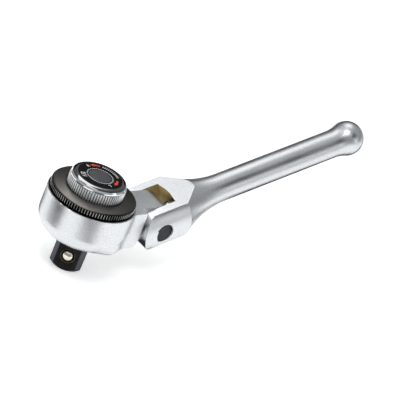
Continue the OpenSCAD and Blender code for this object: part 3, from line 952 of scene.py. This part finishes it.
@dataclass(frozen=True)
class Card:
    """A card that only metal and gloss see, never the camera, the light or the shadows: black, as a painted
    dark reflection, or glowing, as a painted highlight.
    """

    name: str
    place_mm: tuple[float, float, float]
    width_mm: float
    height_mm: float
    faces: tuple[float, float, float] = (0.0, 0.0, 1.0)
    glow: float = 0.0

    def cloth(self) -> bpy.types.Material:
        """Makes the card's material the first time it is asked for.

        Returns:
            The material.
        """
        name = "painted_highlight_glow" if self.glow else "painted_dark_reflection"
        made = bpy.data.materials.get(name)
        if made is not None:
            return made
        made = blank_material(name)
        tree = made.node_tree
        if self.glow:
            face = add_node(tree, "ShaderNodeEmission", {"Strength": self.glow})
        else:
            face = add_node(tree, "ShaderNodeBsdfDiffuse", {"Color": linear(DARK_REFLECTION_BLACK)})
        add_node(tree, "ShaderNodeOutputMaterial", {"Surface": face.outputs[0]})
        return made

    def hang(self) -> None:
        """Hangs the card."""
        deselect()
        turn = Vector(self.faces).to_track_quat("Z", "Y").to_euler()
        bpy.ops.mesh.primitive_plane_add(size=1, location=Vector(self.place_mm) * MM, rotation=turn)
        card = bpy.context.object
        card.name = self.name
        card.scale = (self.width_mm * MM, self.height_mm * MM, 1)
        card.data.materials.append(self.cloth())
        card.visible_camera = False
        card.visible_diffuse = False
        card.visible_shadow = False
        card.visible_transmission = False
        log.info("%s: card of %.0f by %.0f mm", self.name, self.width_mm, self.height_mm)


@dataclass
class Studio:
    """A pale floor, soft lamps, cards that paint reflections, and the camera."""

    target: Vector = field(default_factory=lambda: Vector((40, 0, 25)) * MM)
    floor_drop: float = 0.2 * MM
    floor_half: float = 6.0
    floor_glow: float = 0.6
    horizon: str = "909294"
    zenith: str = "b4b6b8"
    camera_bearing: float = math.radians(-48.956)
    camera_rise: float = math.radians(27.057)
    camera_roll: float = math.radians(22.527)
    camera_distance: float = 1.244515
    camera_reach: float = 20.0
    sensor: float = 36.0
    lens: float = 283.68
    shift: tuple[float, float] = (0.09267, 0.00857)
    lamps: tuple[Softbox, ...] = (
        Softbox("front_lamp", bearing=-165, elevation=66, width=0.5, height=0.28, share=0.4),
        Softbox("back_lamp", bearing=55, elevation=57, width=0.5, height=0.5, share=0.11),
        Softbox("side_lamp", bearing=-60, elevation=17, width=0.4, height=0.3, share=0.042),
    )
    # The black cards paint dark reflections and shade into the metal; card_bright glows as a painted
    # highlight on the cap's shoulder.
    cards: tuple[Card, ...] = (
        Card("card_left", (-75, 29, 0.3), width_mm=54, height_mm=54),
        Card("card_front", (-40, -76, 0.3), width_mm=58, height_mm=58),
        Card("card_behind", (265, 125, 0.3), width_mm=380, height_mm=240),
        Card("card_below", (182, -7, 0.3), width_mm=165, height_mm=26),
        Card("card_edge", (20, 52, 0.3), width_mm=60, height_mm=34),
        Card("card_back", (440, 573, 160), width_mm=900, height_mm=360, faces=(-0.574, -0.819, 0.0)),
        Card("card_under", (22, 4, 0.3), width_mm=46, height_mm=26),
        Card("card_side", (233, -370, 455), width_mm=290, height_mm=270, faces=(-0.321, 0.616, -0.719)),
        Card("card_bright", (-4, 24, 97), width_mm=58, height_mm=44, faces=(0.071, -0.401, -0.914), glow=7),
    )

    def build(self) -> None:
        """Sets the floor, the light and the camera."""
        self.floor()
        self.sky()
        for lamp in self.lamps:
            lamp.hang(self.target)
        for card in self.cards:
            card.hang()
        self.camera()
        bpy.context.scene.view_settings.view_transform = "Standard"

    def floor(self) -> None:
        """Lays the white floor, which shows white to the camera and in the metal and keeps the shadow."""
        deselect()
        bpy.ops.mesh.primitive_plane_add(size=2 * self.floor_half, location=(0, 0, -self.floor_drop))
        plane = bpy.context.object
        plane.name = "floor"
        paper = blank_material("matt_white_paper")
        tree = paper.node_tree
        lit = add_node(tree, "ShaderNodeBsdfDiffuse", {"Color": linear(FLOOR_WHITE)})
        path = add_node(tree, "ShaderNodeLightPath").outputs
        seen = path["Is Camera Ray"]
        for ray in ("Is Glossy Ray", "Is Transmission Ray"):
            either = add_node(tree, "ShaderNodeMath", {0: seen, 1: path[ray]}, operation="ADD")
            seen = either.outputs["Value"]
        faint = add_node(tree, "ShaderNodeMath", {0: seen, 1: self.floor_glow}, operation="MULTIPLY")
        glow = add_node(tree, "ShaderNodeEmission", {"Strength": faint.outputs["Value"]})
        both = add_node(tree, "ShaderNodeAddShader", {0: lit.outputs[0], 1: glow.outputs[0]})
        add_node(tree, "ShaderNodeOutputMaterial", {"Surface": both.outputs[0]})
        plane.data.materials.append(paper)
        log.info("floor: %.0f m wide", 2 * self.floor_half)

    def sky(self) -> None:
        """Lights the room: dim at the horizon and brighter overhead."""
        room = bpy.data.worlds.new("studio_room")
        bpy.context.scene.world = room
        room.use_nodes = True
        tree = room.node_tree
        tree.nodes.clear()
        way = add_node(tree, "ShaderNodeTexCoord").outputs["Generated"]
        up = add_node(tree, "ShaderNodeSeparateXYZ", {0: way}).outputs["Z"]
        height = add_node(tree, "ShaderNodeMapRange", {"Value": up}, interpolation_type="SMOOTHSTEP")
        pair = {MIX_SHARE: height.outputs["Result"], FIRST_COLOUR: linear(self.horizon),
                SECOND_COLOUR: linear(self.zenith)}
        shade = add_node(tree, "ShaderNodeMix", pair, data_type="RGBA").outputs[MIXED_COLOUR]
        air = add_node(tree, "ShaderNodeBackground", {"Color": shade})
        add_node(tree, "ShaderNodeOutputWorld", {"Surface": air.outputs[0]})

    def camera(self) -> None:
        """Stands the camera where the photograph was taken."""
        turn, rise, roll = self.camera_bearing, self.camera_rise, self.camera_roll
        back = Vector((math.sin(turn) * math.cos(rise), -math.cos(turn) * math.cos(rise), math.sin(rise)))
        level = Vector((math.cos(turn), math.sin(turn), 0))
        steep = back.cross(level)
        right = math.cos(roll) * level + math.sin(roll) * steep
        up = math.cos(roll) * steep - math.sin(roll) * level
        eye = bpy.data.cameras.new("camera")
        eye.sensor_width = self.sensor
        eye.lens = self.lens
        eye.shift_x, eye.shift_y = self.shift
        eye.clip_end = self.camera_reach
        stand = bpy.data.objects.new("camera", eye)
        turned = Matrix((right, up, back)).transposed().to_4x4()
        stand.matrix_world = Matrix.Translation(self.target + back * self.camera_distance) @ turned
        bpy.context.scene.collection.objects.link(stand)
        bpy.context.scene.camera = stand


def main() -> None:
    """Builds the looks in order and reports each piece."""
    logging.basicConfig(level=logging.INFO, format="%(name)s: %(message)s")
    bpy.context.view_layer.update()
    for part in (Studio(), Head(), Handle(), Drive(), ReleaseCoil(), Selector()):
        part.build()


if __name__ == "__main__":
    main()
